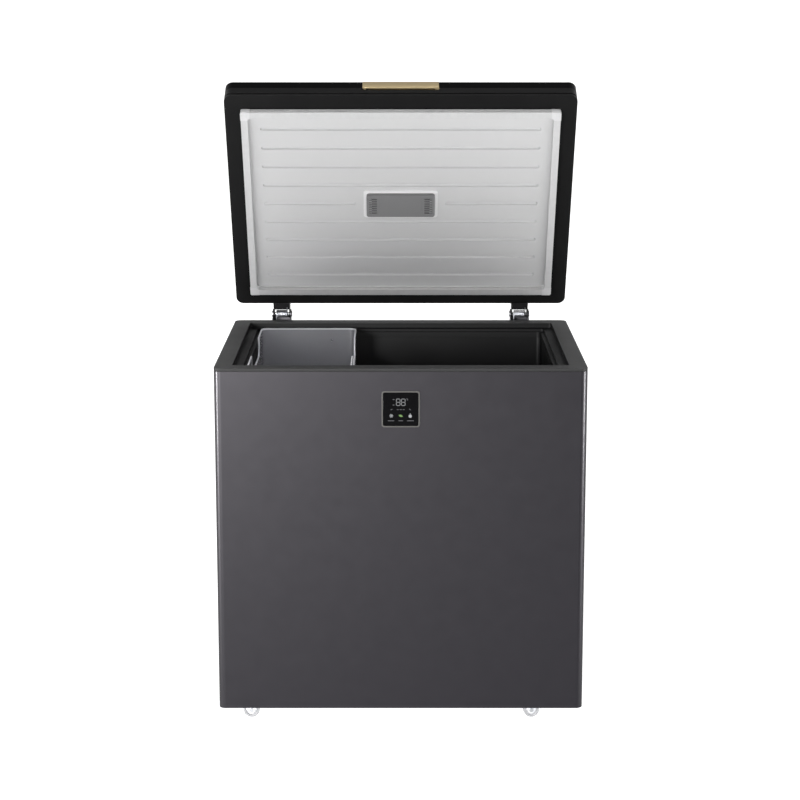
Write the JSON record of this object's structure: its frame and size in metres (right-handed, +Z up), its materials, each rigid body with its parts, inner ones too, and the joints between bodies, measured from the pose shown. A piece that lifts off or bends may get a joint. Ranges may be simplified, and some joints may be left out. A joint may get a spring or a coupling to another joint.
{
  "type": "chest freezer",
  "caption": "Free-standing chest freezer with a top-hinged lid, touch control panel, hanging basket, floor drain and rollers.",
  "frame": {"origin": "on the floor, under the middle of the freezer's bounding box with the lid open at its rest angle", "axes": "the front panel faces -Y and the hinges are at +Y, the compressor end is at +X, +Z is up"},
  "size_m": [0.81, 0.6646, 1.4046],
  "materials": {
    "outer_shell": "glossy graphite paint",
    "back_panel": "satin graphite paint",
    "base_tray": "galvanised",
    "cabinet_foam": "rigid foam",
    "top_frame": "fine-grained moulding",
    "inner_liner": "satin dark liner",
    "compressor_hood": "galvanised",
    "compressor": "black enamel",
    "compressor_plate": "black coat",
    "compressor_grommets": "matt",
    "compressor_bolts": "zinc plated",
    "compressor_nuts": "zinc plated",
    "relay_cover": "moulded",
    "filter_drier": "drawn copper",
    "condenser_coil": "copper-coated steel pipe",
    "evaporator_coil": "drawn pipe",
    "power_box": "moulded",
    "power_board": "solder mask",
    "side_grille": "moulded",
    "rear_cover": "galvanised",
    "rear_cover_screws": "zinc plated",
    "cord_gland": "matt",
    "control_box": "moulded",
    "control_board": "solder mask",
    "digit_display": "smoked",
    "touch_sensors": "spring wire",
    "control_glass": "black printed glass",
    "control_bezel": "satin",
    "control_harness": "insulated wires",
    "temperature_sensor": "moulded",
    "sensor_cover": "moulded",
    "drain_tube": "moulded",
    "drain_plug": "soft",
    "drain_cap": "moulded",
    "hinge_backing_plates": "galvanised",
    "hinge_brackets": "satin grey coat",
    "hinge_pins": "turned",
    "hinge_springs": "spring wire",
    "hinge_bracket_screws": "zinc plated",
    "roller_brackets": "zinc plated",
    "roller_axles": "turned",
    "roller_screws": "zinc plated",
    "roller_front_left": "light grey moulding",
    "roller_front_right": "light grey moulding",
    "roller_rear_left": "light grey moulding",
    "roller_rear_right": "light grey moulding",
    "basket": "smoke-clear moulding",
    "lid_top_panel": "gloss black",
    "lid_frame": "satin black moulding",
    "lid_foam": "rigid foam",
    "lid_liner": "satin white",
    "lid_gasket": "soft white",
    "gasket_corners": "soft white",
    "vent_valve": "matt",
    "handle_insert": "champagne satin",
    "deodoriser_base": "white moulding",
    "deodoriser_cover": "grey moulding",
    "carbon_filter": "carbon felt",
    "lid_backing_plates": "galvanised",
    "hinge_arms": "satin grey coat"
  },
  "bodies": {
    "cabinet": {"outer_shell": "outer_shell", "back_panel": "back_panel", "base_tray": "base_tray", "cabinet_foam": "cabinet_foam", "top_frame": "top_frame", "inner_liner": "inner_liner", "compressor_hood": "compressor_hood", "compressor": "compressor", "compressor_plate": "compressor_plate", "compressor_grommets": "compressor_grommets", "compressor_bolts": "compressor_bolts", "compressor_nuts": "compressor_nuts", "relay_cover": "relay_cover", "filter_drier": "filter_drier", "condenser_coil": "condenser_coil", "evaporator_coil": "evaporator_coil", "power_box": "power_box", "power_board": "power_board", "side_grille": "side_grille", "rear_cover": "rear_cover", "rear_cover_screws": "rear_cover_screws", "cord_gland": "cord_gland", "control_box": "control_box", "control_board": "control_board", "digit_display": "digit_display", "touch_sensors": "touch_sensors", "control_glass": "control_glass", "control_bezel": "control_bezel", "control_harness": "control_harness", "temperature_sensor": "temperature_sensor", "sensor_cover": "sensor_cover", "drain_tube": "drain_tube", "hinge_backing_plates": "hinge_backing_plates", "hinge_brackets": "hinge_brackets", "hinge_pins": "hinge_pins", "hinge_springs": "hinge_springs", "hinge_bracket_screws": "hinge_bracket_screws", "roller_brackets": "roller_brackets", "roller_axles": "roller_axles", "roller_screws": "roller_screws"},
    "lid": {"lid_top_panel": "lid_top_panel", "lid_frame": "lid_frame", "lid_foam": "lid_foam", "lid_liner": "lid_liner", "lid_gasket": "lid_gasket", "gasket_corners": "gasket_corners", "vent_valve": "vent_valve", "handle_insert": "handle_insert", "deodoriser_base": "deodoriser_base", "deodoriser_cover": "deodoriser_cover", "carbon_filter": "carbon_filter", "lid_backing_plates": "lid_backing_plates", "hinge_arms": "hinge_arms"},
    "basket": {"basket": "basket"},
    "drain_plug": {"drain_plug": "drain_plug"},
    "drain_cap": {"drain_cap": "drain_cap"},
    "roller_front_left": {"roller_front_left": "roller_front_left"},
    "roller_front_right": {"roller_front_right": "roller_front_right"},
    "roller_rear_left": {"roller_rear_left": "roller_rear_left"},
    "roller_rear_right": {"roller_rear_right": "roller_rear_right"}
  },
  "joints": [
    {"name": "lid_hinge", "type": "hinge", "parent": "cabinet", "child": "lid", "pos_m": [0, 0.3042, 0.8205], "axis": [-1, 0, 0], "range_deg": [-62, 18], "deforming": ["hinge_springs"]},
    {"name": "basket_slide", "type": "slide", "parent": "cabinet", "child": "basket", "axis": [1, 0, 0], "range_m": [0, 0.443]},
    {"name": "drain_plug_lift", "type": "slide", "parent": "cabinet", "child": "drain_plug", "axis": [0, 0, 1], "range_m": [0, 0.03]},
    {"name": "drain_cap_pull", "type": "slide", "parent": "cabinet", "child": "drain_cap", "axis": [0, 1, 0], "range_m": [0, 0.025]},
    {"name": "roller_front_left_spin", "type": "hinge", "parent": "cabinet", "child": "roller_front_left", "pos_m": [-0.336, -0.2758, 0.018], "axis": [0, 1, 0], "continuous": true},
    {"name": "roller_front_right_spin", "type": "hinge", "parent": "cabinet", "child": "roller_front_right", "pos_m": [0.294, -0.2758, 0.018], "axis": [0, 1, 0], "continuous": true},
    {"name": "roller_rear_left_spin", "type": "hinge", "parent": "cabinet", "child": "roller_rear_left", "pos_m": [-0.336, 0.2142, 0.018], "axis": [0, 1, 0], "continuous": true},
    {"name": "roller_rear_right_spin", "type": "hinge", "parent": "cabinet", "child": "roller_rear_right", "pos_m": [0.294, 0.2142, 0.018], "axis": [0, 1, 0], "continuous": true}
  ]
}
